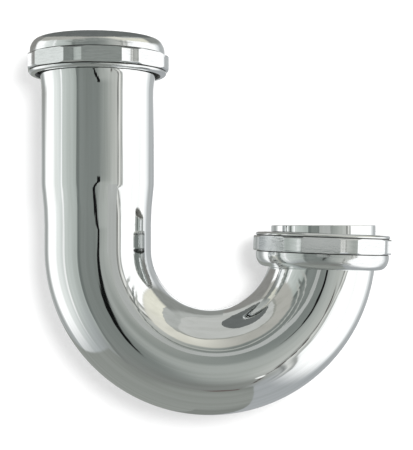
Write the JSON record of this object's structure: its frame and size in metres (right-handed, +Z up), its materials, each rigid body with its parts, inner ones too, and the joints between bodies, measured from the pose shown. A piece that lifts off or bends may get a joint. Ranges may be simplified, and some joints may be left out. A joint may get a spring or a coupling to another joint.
{
  "type": "sink trap j-bend",
  "caption": "Chrome-plated J-bend of a sink trap, with a swaged inlet socket, an octagonal slip nut on each leg and rubber slip-joint washers.",
  "frame": {"origin": "on the axis of the inlet leg, at the upper end of the inlet socket's straight bore", "axes": "+Z up along the inlet leg, out of its mouth; +X towards the outlet leg; the bend lies in the XZ plane and hangs below the legs, as it is fitted"},
  "size_m": [0.1332, 0.0516, 0.1353],
  "materials": {
    "chrome_tube": "mirror-polished chrome plate on drawn brass tube",
    "chrome_nut": "bright chrome plate on a cast nut",
    "rubber_washer": "matt black rubber"
  },
  "bodies": {
    "trap_bend": {"j_bend_tube": "chrome_tube"},
    "inlet_washer": {"inlet_washer": "rubber_washer"},
    "inlet_nut": {"inlet_nut": "chrome_nut"},
    "outlet_washer": {"outlet_washer": "rubber_washer"},
    "outlet_nut": {"outlet_nut": "chrome_nut"}
  },
  "joints": [
    {"name": "inlet_nut_rise", "type": "slide", "parent": "trap_bend", "child": "inlet_washer", "axis": [0, 0, 1], "range_m": [0, 0.0067]},
    {"name": "inlet_nut_screw", "type": "hinge", "parent": "inlet_washer", "child": "inlet_nut", "pos_m": [0, 0, 0.0036], "axis": [0, 0, 1], "range_deg": [0, 1080]},
    {"name": "outlet_nut_slide", "type": "slide", "parent": "trap_bend", "child": "outlet_washer", "axis": [0, 0, 1], "range_m": [0, 0.0164]},
    {"name": "outlet_nut_spin", "type": "hinge", "parent": "outlet_washer", "child": "outlet_nut", "pos_m": [0.08188, 0, -0.0658], "axis": [0.0349, 0, 0.9994], "continuous": true}
  ],
  "couplings": [
    {"joint": "inlet_nut_rise", "follows": "inlet_nut_screw", "m_per_rad": 0.00035152}
  ]
}
